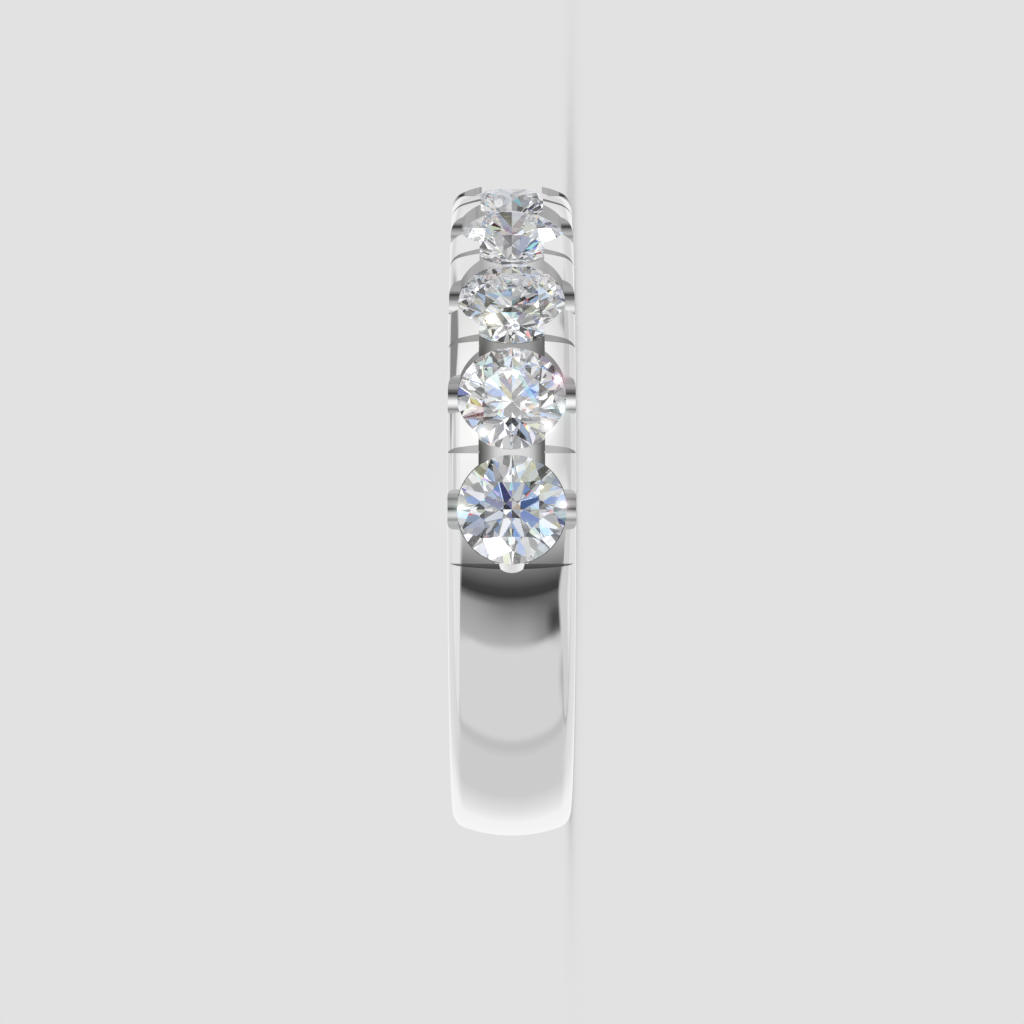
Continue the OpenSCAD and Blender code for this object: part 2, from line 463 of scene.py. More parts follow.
# %% [markdown]
# ## Normals as true as the surfaces
# A mirror finish shows every error of a normal. Averaging over neighbouring faces bends reflections
# beside a cut, because a Boolean leaves slivers there. Each surface here is a plane, a cylinder, a
# cone or a turned arc, so its normal can be worked out exactly at each corner of a face. The tree
# marked each face with the kind of cut it came from, and that mark says which rule holds. Two rules
# leave the exact surface on purpose: a polishing wheel leans in a narrow notch, and rounds the edges of
# a shallow cut, and the photograph shows both.

# %% Read the faces' corners
def read(items, name, kind, width=1):
    """One property of all items of a mesh, as an array with a row for each."""
    values = np.zeros(len(items) * width, kind)
    items.foreach_get(name, values)
    return values if width == 1 else values.reshape(-1, width)


mesh = band.data
corner_count = len(mesh.loops)
corners_of_face = read(mesh.polygons, "loop_total", np.int32)
face_of_corner = np.repeat(np.arange(len(mesh.polygons)), corners_of_face)
kinds = read(mesh.attributes["cut_kind"].data, "value", np.int32)
kind = kinds[face_of_corner]
flat = read(mesh.polygons, "normal", float, 3)[face_of_corner]
middle_plane = (0, 0, half_width)
face_middle = read(mesh.polygons, "center", float, 3)[face_of_corner] / MM - middle_plane
point = read(mesh.vertices, "co", float, 3)[read(mesh.loops, "vertex_index", np.int32)] / MM - middle_plane
middle_out = np.hypot(face_middle[:, 0], face_middle[:, 1])
middle_along = face_middle[:, 2]
out = np.hypot(point[:, 0], point[:, 1])
outward = np.column_stack([point[:, 0] / out, point[:, 1] / out, np.zeros(corner_count)])
finger = np.array([0.0, 0.0, 1.0])
bearing = np.degrees(np.arctan2(point[:, 1], point[:, 0]))
LEVEL = 0.9999         # cosine from which a face counts as flat along an axis
NEAR_LEVEL = 0.99      # the same, where a face may be a sliver
kind_names = ("plain", "seat", "notch", "cut", "channel", "relief", "end cut")
print({name: int((kinds == i).sum()) for i, name in enumerate(kind_names)})


# %% A rule for the blank
def unit(rows):
    return rows / np.linalg.norm(rows, axis=1, keepdims=True)


def turned_about(centre_out, centre_along):
    """Direction from a circle round the finger axis to each point, for arcs of the section."""
    along = point[:, 2] - centre_along
    return unit((out - centre_out)[:, None] * outward + along[:, None] * finger)


def blank_normals():
    """The dome, its corners, the sides, and the bore with its softened edges."""
    side = np.sign(middle_along)
    result = turned_about(centre_of_crown, 0)
    on_corner = np.abs(middle_along) > dome_edge
    result[on_corner] = turned_about(corner_in, side * corner_out)[on_corner]
    in_bore = middle_out < bore + soft_edge
    result[in_bore] = turned_about(bore + soft_edge, side * (half_width - soft_edge))[in_bore]
    straight = in_bore & (np.abs(middle_along) < half_width - soft_edge)
    result[straight] = -outward[straight]
    level = np.abs(flat[:, 2]) > LEVEL
    result[level] = flat[level]
    return result


# %% Directions at the nearest stone
def nearest_axis(start, step, amount):
    """Unit vector from the finger axis to the nearest of some evenly spaced places on the crest."""
    number = np.round(((bearing - start + 90) % 360 - 90) / step)
    angle = np.radians(start + np.clip(number, 0, amount - 1) * step)
    return np.column_stack([np.cos(angle), np.sin(angle), np.zeros(corner_count)])


axis = nearest_axis(first_angle, pitch, len(stones))
tangent = np.cross(finger, axis)
height = (point * axis).sum(1) - crest
across_ring = (point * tangent).sum(1)
on_cone = (flat * axis).sum(1) > 0.3       # a seat's wall stands upright, and its cone slopes


# %% Rules for seats, channel and reliefs
def seat_normals():
    """The drilled wall looks at the stone's axis, and the cone looks up past it."""
    to_axis = -unit(across_ring[:, None] * tangent + point[:, 2:3] * finger)
    slope = math.radians(cone_slope)
    cone = math.sin(slope) * to_axis + math.cos(slope) * axis
    return np.where(on_cone[:, None], cone, to_axis)


def channel_normals():
    """The round floor of the channel, and its flat walls."""
    floor = -turned_about(crest - channel_sink + channel_round, 0)
    return np.where((np.abs(flat[:, 2]) > NEAR_LEVEL)[:, None], flat, floor)


def relief_normals():
    """The wall of a leaning drill looks at the drill's own axis."""
    side = np.where(across_ring > 0, 1, -1)[:, None]
    lean = math.radians(relief_lean)
    drill_axis = math.cos(lean) * axis + side * math.sin(lean) * tangent
    from_mouth = point - crest * axis - side * relief_away * tangent
    to_axis = -unit(from_mouth - (from_mouth * drill_axis).sum(1, keepdims=True) * drill_axis)
    bottom = np.abs((flat * drill_axis).sum(1)) > NEAR_LEVEL
    return np.where(bottom[:, None], flat, to_axis)


# %% Rules for the notches and the end cuts, which a wheel has rounded
NOTCH_LEAN = 12        # degrees that a notch's polish leans down the ring, as its dark line shows
notch_turn = np.degrees(np.arctan2(-across_ring, -(height + notch_sink)))     # 0 on its floor


def notch_normals():
    """The round floor of a notch, leaned as the wheel leaves it. Its walls stay flat."""
    turned = np.radians(notch_turn - NOTCH_LEAN)[:, None]
    to_centre = np.sin(turned) * tangent + np.cos(turned) * axis
    straight = np.abs((flat * tangent).sum(1)) > LEVEL
    return np.where(straight[:, None], flat, to_centre)


def end_cut_normals():
    """The wheel rounds the shallow end cuts, so that what they mirror follows the dome beside them."""
    along = point[:, 2]
    on_dome = along / crown
    on_corner = np.sign(along) * np.clip((np.abs(along) - corner_out) / corner, 0, 1)
    slope = np.where(np.abs(along) < dome_edge, on_dome, on_corner)[:, None]
    return np.sqrt(1 - slope ** 2) * outward + slope * finger


# %% Write the normals
rules = {PLAIN: blank_normals(), SEAT: seat_normals(), NOTCH: notch_normals(), CUT: flat,
         CHANNEL: channel_normals(), RELIEF: relief_normals(), END_CUT: end_cut_normals()}
normals = np.select([(kind == i)[:, None] for i in rules], list(rules.values()))
for i, name in enumerate(kind_names):
    if (kind == i).any():
        furthest = math.acos((normals * flat).sum(1)[kind == i].min())
        print(name, "largest angle between a rule and its face:", round(math.degrees(furthest), 1))
mesh.polygons.foreach_set("use_smooth", [True] * len(mesh.polygons))
mesh.normals_split_custom_set(normals.tolist())

# %% [markdown]
# ## Light lost in the cuts, painted as shade
# A cut in polished metal mirrors its own dark walls as well as the room, so it looks darker than the dome
# beside it. Tracing those reflections would bring the stones and the floor into the metal too, which the
# photograph's metal doesn't show. So each corner of a face gets the share of light that it loses, from
# where it lies in its cut and how far it turns away from the lens, and that share is painted on as shade.

# %% How much of the light each place in a cut loses
def ramp(value, low, high):
    """0 at the low end of a range and 1 at its high end."""
    return np.clip((value - low) / (high - low), 0, 1)


toward_lens = (math.cos(first_angle * DEGREE), math.sin(first_angle * DEGREE), 0)
facing_lens = (normals * toward_lens).sum(1)

# A notch is bright on its floor, and dark where its walls begin
NOTCH_BRIGHTEST, NOTCH_DARK_LINE, NOTCH_LINE_WIDTH = 5, 31, 6      # degrees round its floor
steepness = np.abs(notch_turn - NOTCH_BRIGHTEST)
dark_line = np.exp(-((np.abs(notch_turn) - NOTCH_DARK_LINE) / NOTCH_LINE_WIDTH) ** 2)
in_notch = 0.45 * ramp(steepness, 5, 20) + 0.25 * dark_line

# The channel's floor loses more beside its walls, and where it turns away from the lens
to_wall = np.abs(point[:, 2]) / (channel_width / 2)
on_wall = np.abs(flat[:, 2]) > NEAR_LEVEL
turned_away = ramp(facing_lens, 0.98, 0.88) - ramp(facing_lens, 0.8, 0.7)
channel_floor = 0.2 + 0.3 * ramp(to_wall, 0.55, 0.95) + 0.4 * turned_away
in_channel = np.where(on_wall, 0.55, channel_floor)

# A seat's cone sees only the stone, and its wall loses more where it is seen along its face
in_seat = np.where(on_cone, 0.85, 0.45 + 0.3 * ramp(facing_lens, 0.4, 0.2))

# The V cuts are darkest at their outer ends, and the two end cuts at their mouths
in_cut = 0.42 + 0.3 * ramp(np.abs(point[:, 2]), 1.3, 1.85)
mouth_share = ramp(height + point[:, 2] ** 2 / 2 / crown, -end_cut_sink, 0)
in_end_cut = 0.6 + 0.3 * mouth_share

# the share of painted shade for each kind of cut
losses = {PLAIN: 0.0, SEAT: in_seat, NOTCH: in_notch, CUT: in_cut, CHANNEL: in_channel, RELIEF: 0.0,
          END_CUT: in_end_cut}
loss = np.select([kind == i for i in losses], [np.broadcast_to(v, corner_count) for v in losses.values()])
mesh.attributes.new("light_lost", "FLOAT", "CORNER").data.foreach_set("value", loss.astype(np.float32))
print("mean share of light lost:", {
    name: round(float(loss[kind == i].mean()), 2) for i, name in enumerate(kind_names)})

# %% The band takes the place of its CAD node
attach(band, "root")
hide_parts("band")

# %% [markdown]
# ## White gold
# Polished white gold is a metal with almost no colour of its own. What the eye reads as fine work are
# the traces of the polishing wheel, which run round the ring and blur a reflection a little more along
# one way than the other. They're made from noise that is stretched round the finger axis. A picture
# of scratches would do as well, but it would need a map, and noise has no seam.

# %% The metal
def new_material(material):
    """Clears a material and gives its tree."""
    material.use_nodes = True
    material.node_tree.nodes.clear()
    return material.node_tree


def soft_step(value, low, high, top=1):
    """0 below a range and top above it, with a smooth change between."""
    return add(tree_of(value), "ShaderNodeMapRange", {"interpolation_type": "SMOOTHSTEP"}, {
        "Value": value, "From Min": low, "From Max": high, "To Max": top}, "Result")


def either(share, first, second):
    """A mix of two shaders. Where the share is 0 or 1, the other one costs no time."""
    return add(tree_of(share), "ShaderNodeMixShader", {}, {0: share, 1: first, 2: second})


def finish(shader, kind="Material"):
    """Ends the tree of a material or a world."""
    tree = tree_of(shader)
    tree.links.new(shader.socket, tree.nodes.new("ShaderNodeOutput" + kind).inputs["Surface"])


FIRST_COLOUR, SECOND_COLOUR, MIXED_COLOUR = 6, 7, 2     # places of a Mix node's sockets for colours


def mix_colour(share, first, second):
    """Blends two colours, each a wire or red, green and blue."""
    first, second = (one if isinstance(one, Wire) else (*one, 1) for one in (first, second))
    return add(tree_of(share, first, second), "ShaderNodeMix", {"data_type": "RGBA"}, {
        0: share, FIRST_COLOUR: first, SECOND_COLOUR: second}, MIXED_COLOUR)


METAL_SHARE = 0.8      # how much light the polished face gives back, seen straight on
TRACES = 30000         # traces of the wheel over a metre
TRACE_DEPTH = 0.00002  # in metres
CLOUDS = 900           # soft clouds of the polish over a metre
gold = new_material(metal)
where = add(gold, "ShaderNodeTexCoord", {}, {}, "Object")
split = add(gold, "ShaderNodeSeparateXYZ", {}, {"Vector": where}, "X")
x, y, z = split, split.out("Y"), split.out("Z")
distance = maths("SQRT", x * x + y * y)
bearing_wire = maths("ARCTAN2", y, x)
wheel = add(gold, "ShaderNodeCombineXYZ", {}, {
    "X": bearing_wire * 2, "Y": distance * TRACES, "Z": z * TRACES})
traces = add(gold, "ShaderNodeTexNoise", {}, {"Vector": wheel, "Scale": 1, "Detail": 3}, "Fac")
clouds = add(gold, "ShaderNodeTexNoise", {}, {"Vector": where, "Scale": CLOUDS, "Detail": 2}, "Fac")
roughness = 0.02 + traces * 0.015 + clouds * 0.015
tint = mix_colour(clouds, (0.79, 0.792, 0.797), (0.81, 0.808, 0.804))
grain = add(gold, "ShaderNodeBump", {}, {
    "Strength": 0.02, "Distance": TRACE_DEPTH, "Height": traces})
polished = add(gold, "ShaderNodeBsdfPrincipled", {}, {
    "Base Color": tint, "Metallic": 1, "Roughness": roughness, "Normal": grain})
print("white gold gives back", METAL_SHARE, "of the light")

# %% [markdown]
# ## Painted shade in cuts and corners
# The light lost in a cut is painted on as shade, by mixing in a dark, dull surface as its share says.
# Elsewhere ambient occlusion finds the sharp inner corners, such as those of the reliefs, and paints
# shade there too. A painted map would need an unwrapped band. The band is also hidden from mirrored and
# refracted rays, because the photograph's metal and stones mirror nothing but the tent.

# %% The painted shade of the cuts
openness = add(gold, "ShaderNodeAmbientOcclusion", {"samples": 16, "only_local": True}, {
    "Distance": 0.25 * MM}, "AO")
in_corner = soft_step(openness, 0.8, 0.4, 0.9)
light_lost = add(gold, "ShaderNodeAttribute", {"attribute_name": "light_lost"}, {}, "Fac")
NO_LOSS = 0.001        # below this, a face lies in no cut that has a loss of its own
recess = light_lost + (light_lost < NO_LOSS) * in_corner
# painted shade: a near-black dull surface, mixed in by the share of light lost and by the occlusion
painted_shade_surface = add(gold, "ShaderNodeBsdfDiffuse", {}, {"Color": (0.02, 0.02, 0.021, 1)})
finish(either(recess, polished, painted_shade_surface))
print("the metal's material has", len(gold.nodes), "nodes")
band.visible_glossy = False
band.visible_transmission = False

# %% [markdown]
# ## Brilliants
# The stones are the CAD solids themselves: their facets are exact planes, and a stone's life comes
# from what those planes do with light. Diamond bends light strongly, so the index is 2.417. A picture
# of a sparkle could be laid on the table instead, but it wouldn't move with the view. A stone lets
# through a ray that comes from another surface, so that no stone shows its neighbour.

# %% The stones
diamond = bpy.data.materials.new("diamond")
clear_tree = new_material(diamond)
place = add(clear_tree, "ShaderNodeTexCoord", {}, {}, "Object")
haze = add(clear_tree, "ShaderNodeTexNoise", {}, {"Vector": place, "Scale": 700, "Detail": 2}, "Fac")
body = mix_colour(haze, (0.985, 0.99, 1), (1, 1, 1))
brilliance = add(clear_tree, "ShaderNodeBsdfPrincipled", {}, {
    "Base Color": body, "Roughness": 0, "IOR": 2.417, "Transmission Weight": 1})
met = add(clear_tree, "ShaderNodeLightPath", {}, {}, "Is Camera Ray")
inside = add(clear_tree, "ShaderNodeNewGeometry", {}, {}, "Backfacing")
second_hand = (1 - met) * (1 - inside)
passed_once = maths("MINIMUM", met.out("Transparent Depth"), 1)
let_through = maths("MAXIMUM", second_hand, passed_once)
unseen = add(clear_tree, "ShaderNodeBsdfTransparent")
finish(either(let_through, brilliance, unseen))
for name in stones:
    stone = frame["nodes"][name]
    stone.data.materials.clear()
    stone.data.materials.append(diamond)
print("diamond on", len(stones), "stones")

# %% [markdown]
# ## The camera
# The photograph looks at the first stone along its own axis, from far enough for a long lens. The ring
# stood upright there and lies here, so the camera rolls with it: its up is the ring's tangent, towards
# the other stones. It stays in the ring's middle plane, just above the floor.

# %% Aim the camera
toward_camera = Vector(toward_lens)
picture_up = Vector((0, 0, 1)).cross(toward_camera)
picture_right = picture_up.cross(toward_camera)
ring_centre = Vector((0, 0, half_width * MM))
CAMERA_AWAY = 9.4      # distance of the camera, in radii of the ring
PICTURE_SIZE = 1024    # pixels of the photograph, each way
FOCAL_PIXELS = 3047    # focal length that gives the ring its size there
OFF_CENTRE = (0.2, -2.5)        # pixels that the view is shifted to the right and up
camera_distance = CAMERA_AWAY * crest * MM

lens = bpy.data.cameras.new("camera")
camera = put_in_scene("camera", lens)
bpy.context.scene.camera = camera
lens.lens = FOCAL_PIXELS * lens.sensor_width / PICTURE_SIZE
lens.clip_start = 0.001
lens.clip_end = 50
lens.shift_x = OFF_CENTRE[0] / PICTURE_SIZE
lens.shift_y = OFF_CENTRE[1] / PICTURE_SIZE
turn_to = Matrix((picture_right, picture_up, toward_camera)).transposed().to_4x4()
camera.matrix_world = Matrix.Translation(ring_centre + camera_distance * toward_camera) @ turn_to
print(f"camera {camera_distance / MM:.1f} mm away, lens {lens.lens:.1f} mm")

# %% [markdown]
# ## Light
# A studio for jewellery is a white tent with a few dark places, since polished metal and stones only
# show what stands round them. The world is that tent. Its place names are angles: the swing runs in
# the ring's plane, from the lens (0) up over the top (90) or down under the ring (-90), and the lean
# runs sideways, along the finger. Soft cards are drawn over each other on that map. What the tent shows
# also depends on what the light has met: the camera sees a plain pale wall, the metal sees broad sheets
# with a few dark edges, and the stones see finer cards and small lamps, from which their fire comes.

# %% Directions in the tent
def linear(level):
    """Scene light for a grey level of 0 to 255 in the picture, by the usual curve of a screen."""
    share = level / 255
    return share / 12.92 if share <= 0.04045 else ((share + 0.055) / 1.055) ** 2.4


wall_level = linear(226)
world = bpy.data.worlds.new("tent")
bpy.context.scene.world = world
world.use_nodes = True
sky = world.node_tree
sky.nodes.clear()
look = add(sky, "ShaderNodeTexCoord", {}, {}, "Generated")


def vector_maths(operation, *values, out="Vector"):
    return add(sky, "ShaderNodeVectorMath", {"operation": operation}, dict(enumerate(values)), out)


def along(direction):
    """How far the view of the tent points along a direction, from -1 to 1."""
    return vector_maths("DOT_PRODUCT", look, direction, out="Value")


to_lens, to_top, to_side = along(toward_camera), along(picture_up), along(picture_right)
swing = maths("ARCTAN2", to_top, to_lens) * (1 / DEGREE)
lean = maths("ARCSINE", to_side) * (1 / DEGREE)
tent_map = add(sky, "ShaderNodeCombineXYZ", {}, {"X": swing, "Y": lean})
print(f"the wall's light is {wall_level:.3f}")


# %% Cards and tones
def card(swings, leans, corner, soft, squeeze=1):
    """How much of a card is seen: 1 on it and 0 off it, with round corners and a soft edge, in degrees.

    A squeeze below 1 makes the edges towards the sides softer than the others."""
    middle = (sum(swings) / 2, sum(leans) / 2, 0)
    half = (abs(swings[1] - swings[0]) / 2 - corner, abs(leans[1] - leans[0]) / 2 * squeeze - corner, 0)
    offset = vector_maths("MULTIPLY", vector_maths("SUBTRACT", tent_map, middle), (1, squeeze, 1))
    beyond = vector_maths("SUBTRACT", vector_maths("ABSOLUTE", offset), half)
    outside = vector_maths("LENGTH", vector_maths("MAXIMUM", beyond, (0, 0, 0)), out="Value")
    parts = add(sky, "ShaderNodeSeparateXYZ", {}, {"Vector": beyond}, "X")
    inside = maths("MINIMUM", maths("MAXIMUM", parts, parts.out("Y")), 0)
    return 1 - soft_step(outside + inside - corner, -soft / 2, soft / 2)


def share_of_range(value, low, high):
    """0 below a range and 1 above it, with a straight change between."""
    return add(sky, "ShaderNodeMapRange", {}, {"Value": value, "From Min": low, "From Max": high}, "Result")


def tones(value, low, high, stops):
    """Grey levels or colours over a range of some angle, from pairs of an angle and a tone."""
    places = [((angle - low) / (high - low), tone) for angle, tone in stops]
    return add(sky, "ShaderNodeValToRGB", {"stops": places}, {
        "Fac": share_of_range(value, low, high)}, "Color")


# %% [markdown]
# ## What the metal sees
# The band's bright flanks and dark lines are the sheets and stands of a real tent. Two ramps give the
# broad sheets under and over the ring, and cards are laid over them in order. The ramps' grey levels
# are readings of the photograph's metal, at the angles that it mirrors, with a few set between them.
# The cards' were begun from such readings and then changed. Real planes with lamps would do this
# too, but each would then also light the stones and the floor.

# %% Sheets and cards for the metal
under = [(-180, 243), (-142, 241), (-130, 222), (-118, 203), (-96, 203), (-88, 206), (-76, 213), (-64, 210),
         (-53, 204), (-49.5, 190), (-46, 173), (-40, 154), (-34, 124), (-31, 93), (-29.6, 60), (-27, 66),
         (-22, 108), (-12, 172), (0, 212)]
over = [(0, 212), (12, 239), (28, 246), (58, 241), (70, 230), (80, 223), (112, 231), (137, 228), (150, 214),
        (157, 238), (180, 243)]
under, over = ([(angle, linear(level)) for angle, level in stops] for stops in (under, over))
sheets = mix_colour(swing > 0, tones(swing, -180, 0, under), tones(swing, 0, 180, over))
# Swings, leans, corner radius, softness, squeeze of the lean, how much of it covers, and its grey level
metal_cards = [
    ((-190, -96), (-105, -34), 2, 24, 1, 0.9, 218),    # soft grey behind and below, left and right
    ((-190, -112), (30, 105), 2, 24, 1, 0.9, 220),
    ((140, 190), (-105, -25), 2, 16, 1, 0.9, 214),
    ((120, 190), (25, 105), 2, 16, 1, 0.9, 212),
    ((-93, -60), (-38, 36), 14, 7, 1, 0.8, 187),       # rim under the broad sheet in front of the shank
    ((-86.5, -48.5), (-38, 33), 12, 5, 1, 1.0, 210),   # that sheet
    ((-48, -33), (-80, -16), 1, 4, 0.12, 0.55, 174),   # its lit upper left
    ((-47, -32), (18, 80), 1, 5, 0.2, 0.62, 80),       # its shaded upper right
    ((-46.5, -36.5), (26, 52), 4, 8, 1, 0.85, 56),     # dark stand
    ((-96, -8), (-100, -38), 4, 3, 1, 1.0, 226),       # window on the left
    ((-94, -60), (-100, -62), 4, 16, 1, 0.8, 232),
    ((-109, -41), (30.5, 100), 30, 5, 1, 0.9, 172),    # frame of the window on the right
    ((-107, -8), (34, 100), 28, 2, 1, 1.0, 206),       # that window
    ((-100, -45), (60, 100), 6, 12, 1, 0.8, 230),
    ((4, 86), (-64, -40), 4, 6, 1, 0.7, 226),          # upper left
    ((10, 84), (-100, -62), 6, 12, 1, 0.9, 196),
    ((74, 162), (-70, -42), 8, 10, 1, 1.0, 134),       # dark stand above it
    ((12, 112), (32.5, 100), 6, 24, 1, 1.0, 197),      # upper right
    ((74, 84), (29, 38), 3, 5, 1, 0.8, 150),
]
metal_view = sheets
for swings, leans, corner_angle, soft, squeeze, cover, level in metal_cards:
    metal_view = mix_colour(
        card(swings, leans, corner_angle, soft, squeeze) * cover, metal_view, (linear(level),) * 3)
print(f"{len(metal_cards)} cards in front of the metal")

# %% Dim the tent where metal gives back more light, at a glancing angle
meeting = maths("SQRT", (1 + to_lens) * 0.5)       # cosine at which light from there meets the metal
glancing = maths("POWER", 1 - meeting, 5)
metal_view = vector_maths("DIVIDE", metal_view, METAL_SHARE + (1 - METAL_SHARE) * glancing)
print("the tent has", len(sky.nodes), "nodes so far")

# %% [markdown]
# ## What the stones see
# A brilliant shows each bright or dark place of the room many times over, as chips of light. So the
# stones get a finer tent: cells of every tone from a Voronoi texture. Diamond splits white light, and
# the renderer bends all colours alike, so red and blue read the cells from a direction turned a
# little each way. A photograph of a studio would do as well, but its tones couldn't be set one by one.

# %% Cells of light and dark, with split colours
in_picture = add(sky, "ShaderNodeCombineXYZ", {}, {"X": to_side, "Y": to_top, "Z": to_lens})
CELLS = 6.5            # cells of the pattern in one radius of the tent
SPREAD = 0.25          # degrees between the colours that diamond splits
CELL_SHIFT = (0.31, 0.54, 0.17)
cell_tones = [
    (0.0, 0.0), (0.12, 0.0), (0.19, 0.08), (0.32, 0.33), (0.5, 0.6), (0.7, 0.9), (0.86, 1.12),
    (0.95, 1.4), (1.0, 2.0)]
WHITE = (1, 1, 1)
cell_tints = [
    (0.0, WHITE), (0.6, WHITE), (0.65, (0.76, 0.85, 1)), (0.69, WHITE), (0.74, (0.88, 0.84, 1)),
    (0.78, WHITE), (0.82, (0.45, 0.65, 1)), (0.86, WHITE), (0.89, (0.65, 0.93, 0.9)), (0.92, WHITE),
    (0.94, (0.9, 0.97, 0.72)), (0.97, (1, 0.9, 0.76)), (1.0, (1, 0.75, 0.55))]


def tent_cells(offset):
    """The tent's finer pattern, seen from a direction turned a little."""
    turned_look = add(sky, "ShaderNodeVectorRotate", {"rotation_type": "AXIS_ANGLE"}, {
        "Vector": in_picture, "Axis": (0.6, 0.5, 0.62), "Angle": math.radians(offset)})
    shifted = vector_maths("ADD", turned_look, CELL_SHIFT)
    cells = add(sky, "ShaderNodeTexVoronoi", {}, {"Vector": shifted, "Scale": CELLS}, "Color")
    return add(sky, "ShaderNodeSeparateColor", {}, {"Color": cells}, "Red")


def cell_shade(offset):
    """How bright a cell is, one tone for each."""
    tone = tones(tent_cells(offset), 0, 1, cell_tones)
    return add(sky, "ShaderNodeSeparateColor", {}, {"Color": tone}, "Red")


SPLIT_SHARE = 0.6      # how much of the light is split
split_shade = add(sky, "ShaderNodeCombineColor", {}, {
    "Red": cell_shade(-SPREAD), "Green": cell_shade(0), "Blue": cell_shade(SPREAD)})
tints = tones(tent_cells(0).out("Green"), 0, 1, cell_tints)
shade = mix_colour(SPLIT_SHARE, cell_shade(0), split_shade)
stone_view = vector_maths("MULTIPLY", shade, tints)
print(f"{CELLS} cells in a radius of the tent, its colours {SPREAD} degrees apart")

# %% [markdown]
# ## The lens and its hood
# A brilliant seen straight on sends the middle of the view back to the lens, and shows it as dark
# arrows and pale kites. The first stone faces the lens, so the tent has a lens of glass there, with a
# hood round it. Their tones change with the angle round the lens, and each is a ramp over that angle.
# The tones were set by comparing facets of the photograph and of the picture at eight angles.

# %% Tones of the hood and the glass, by the angle round the lens
hood = [
    (-180, (0.7, 0.75, 0.85)), (-157, (0.81, 0.86, 0.96)), (-112, (1.12, 1.14, 1.18)),
    (-68, (0.96, 1.0, 1.07)), (-45, (0.8, 0.86, 1.0)), (-22, (0.22, 0.32, 0.7)), (0, (0.12, 0.22, 0.55)),
    (22, (0.005, 0.07, 0.28)), (45, (0.3, 0.36, 0.5)), (67, (0.68, 0.7, 0.69)), (90, (0.3, 0.3, 0.35)),
    (112, (0.005, 0.012, 0.14)), (135, (0.15, 0.15, 0.3)), (157, (0.36, 0.37, 0.55)),
    (180, (0.7, 0.75, 0.85))]
glass = [
    (-180, (0.6, 0.65, 0.8)), (-157, (0.5, 0.56, 0.72)), (-112, (0.8, 0.8, 0.8)),
    (-68, (0.59, 0.59, 0.59)), (-22, (1.03, 1.1, 1.22)), (22, (0.67, 0.68, 0.64)),
    (68, (0.25, 0.25, 0.25)), (112, (0.35, 0.35, 0.35)), (157, (0.85, 0.86, 0.94)),
    (180, (0.6, 0.65, 0.8))]
off_lens = maths("ARCCOSINE", to_lens) * (1 / DEGREE)
round_lens = maths("ARCTAN2", to_top, to_side) * (1 / DEGREE)
hood_view, glass_view = (tones(round_lens, -180, 180, stops) for stops in (hood, glass))
# Where the edge of each begins and ends, in degrees from the lens
for begins, ends, seen in ((4.6, 5.2, hood_view), (2.95, 3.1, glass_view), (1.4, 1.8, (0.06, 0.07, 0.1))):
    stone_view = mix_colour(1 - soft_step(off_lens, begins, ends), stone_view, seen)

# %% [markdown]
# ## Cards and lamps for the fire
# Over the cells lie a few round cards, whose quiet blues and warm tones come back as the stones' colours,
# and lamps, most of them under a tenth of a degree in radius, which come back as points. Most places
# were found by tracing rays from bright, dark and coloured patches of the photograph, and the colours
# were begun from those patches and then changed. Lamps as objects would do, but the metal would
# mirror them.

# %% Round cards: swing, lean, radius in degrees, and colour
stone_cards = [
    (19, 0, 2.5, (0.12, 0.25, 0.6)),
    (-37, 5, 3, (0.5, 0.51, 0.53)),
    (-35, 42, 4, (0.9, 0.9, 0.92)),
    (-17, 31, 3, (0.85, 0.85, 0.87)),
    (-12, -2, 2, (1.0, 1.0, 1.02)),
    (-29, -17, 3, (0.6, 0.61, 0.63)),
    (-30, -42, 4, (0.75, 0.76, 0.78)),
    (-55, 60, 4, (0.42, 0.42, 0.44)),
    (161, 0, 9, (0.82, 0.83, 0.86)),
    (-149, 23, 3, (0.85, 0.85, 0.87)),
    (-149, -23, 3, (0.7, 0.7, 0.72)),
    (-109, 27, 4, (0.3, 0.33, 0.5)),
    (-109, -27, 4, (0.38, 0.33, 0.38)),
    (14, -14, 3, (0.42, 0.45, 0.52)),
    (-2, 20, 2, (0.33, 0.46, 0.78)),
    (15, 12, 2, (0.33, 0.46, 0.72)),
    (-20, -2, 2, (0.28, 0.38, 0.55)),
    (-16, 13, 1.5, (0.22, 0.42, 0.82)),
    (25, 20, 1.5, (0.78, 0.55, 1.2)),
    (-43, 16, 3, (0.11, 0.1, 0.3)),
    (2, -21, 1.5, (0.43, 0.55, 0.8)),
    (-22, 24, 1.2, (0.75, 0.2, 0.25)),
    (-22, -24, 1.5, (0.2, 0.42, 0.5)),
    (6, 14, 1.5, (0.38, 0.34, 0.15)),
    (-20, -15, 2, (0.17, 0.2, 0.5)),
    (9, 18, 1.5, (0.7, 0.5, 0.33)),
    (-25, -46, 2, (1.05, 0.68, 0.3)),
    (31, -11, 2, (0.09, 0.17, 0.26)),
    (38, -21, 2, (1.05, 0.75, 0.63)),
    (36, 75, 2.5, (0.25, 0.08, 0.1)),
]
SEAT_DARK = 0.45       # how much the dark of the seat covers of what lies behind a stone
in_the_seat = soft_step(to_lens, -0.25, -0.6)      # away from the lens lie the seats
stone_view = mix_colour(in_the_seat * SEAT_DARK, stone_view, (0.03, 0.03, 0.04))
print(len(stone_cards), "cards for the stones")

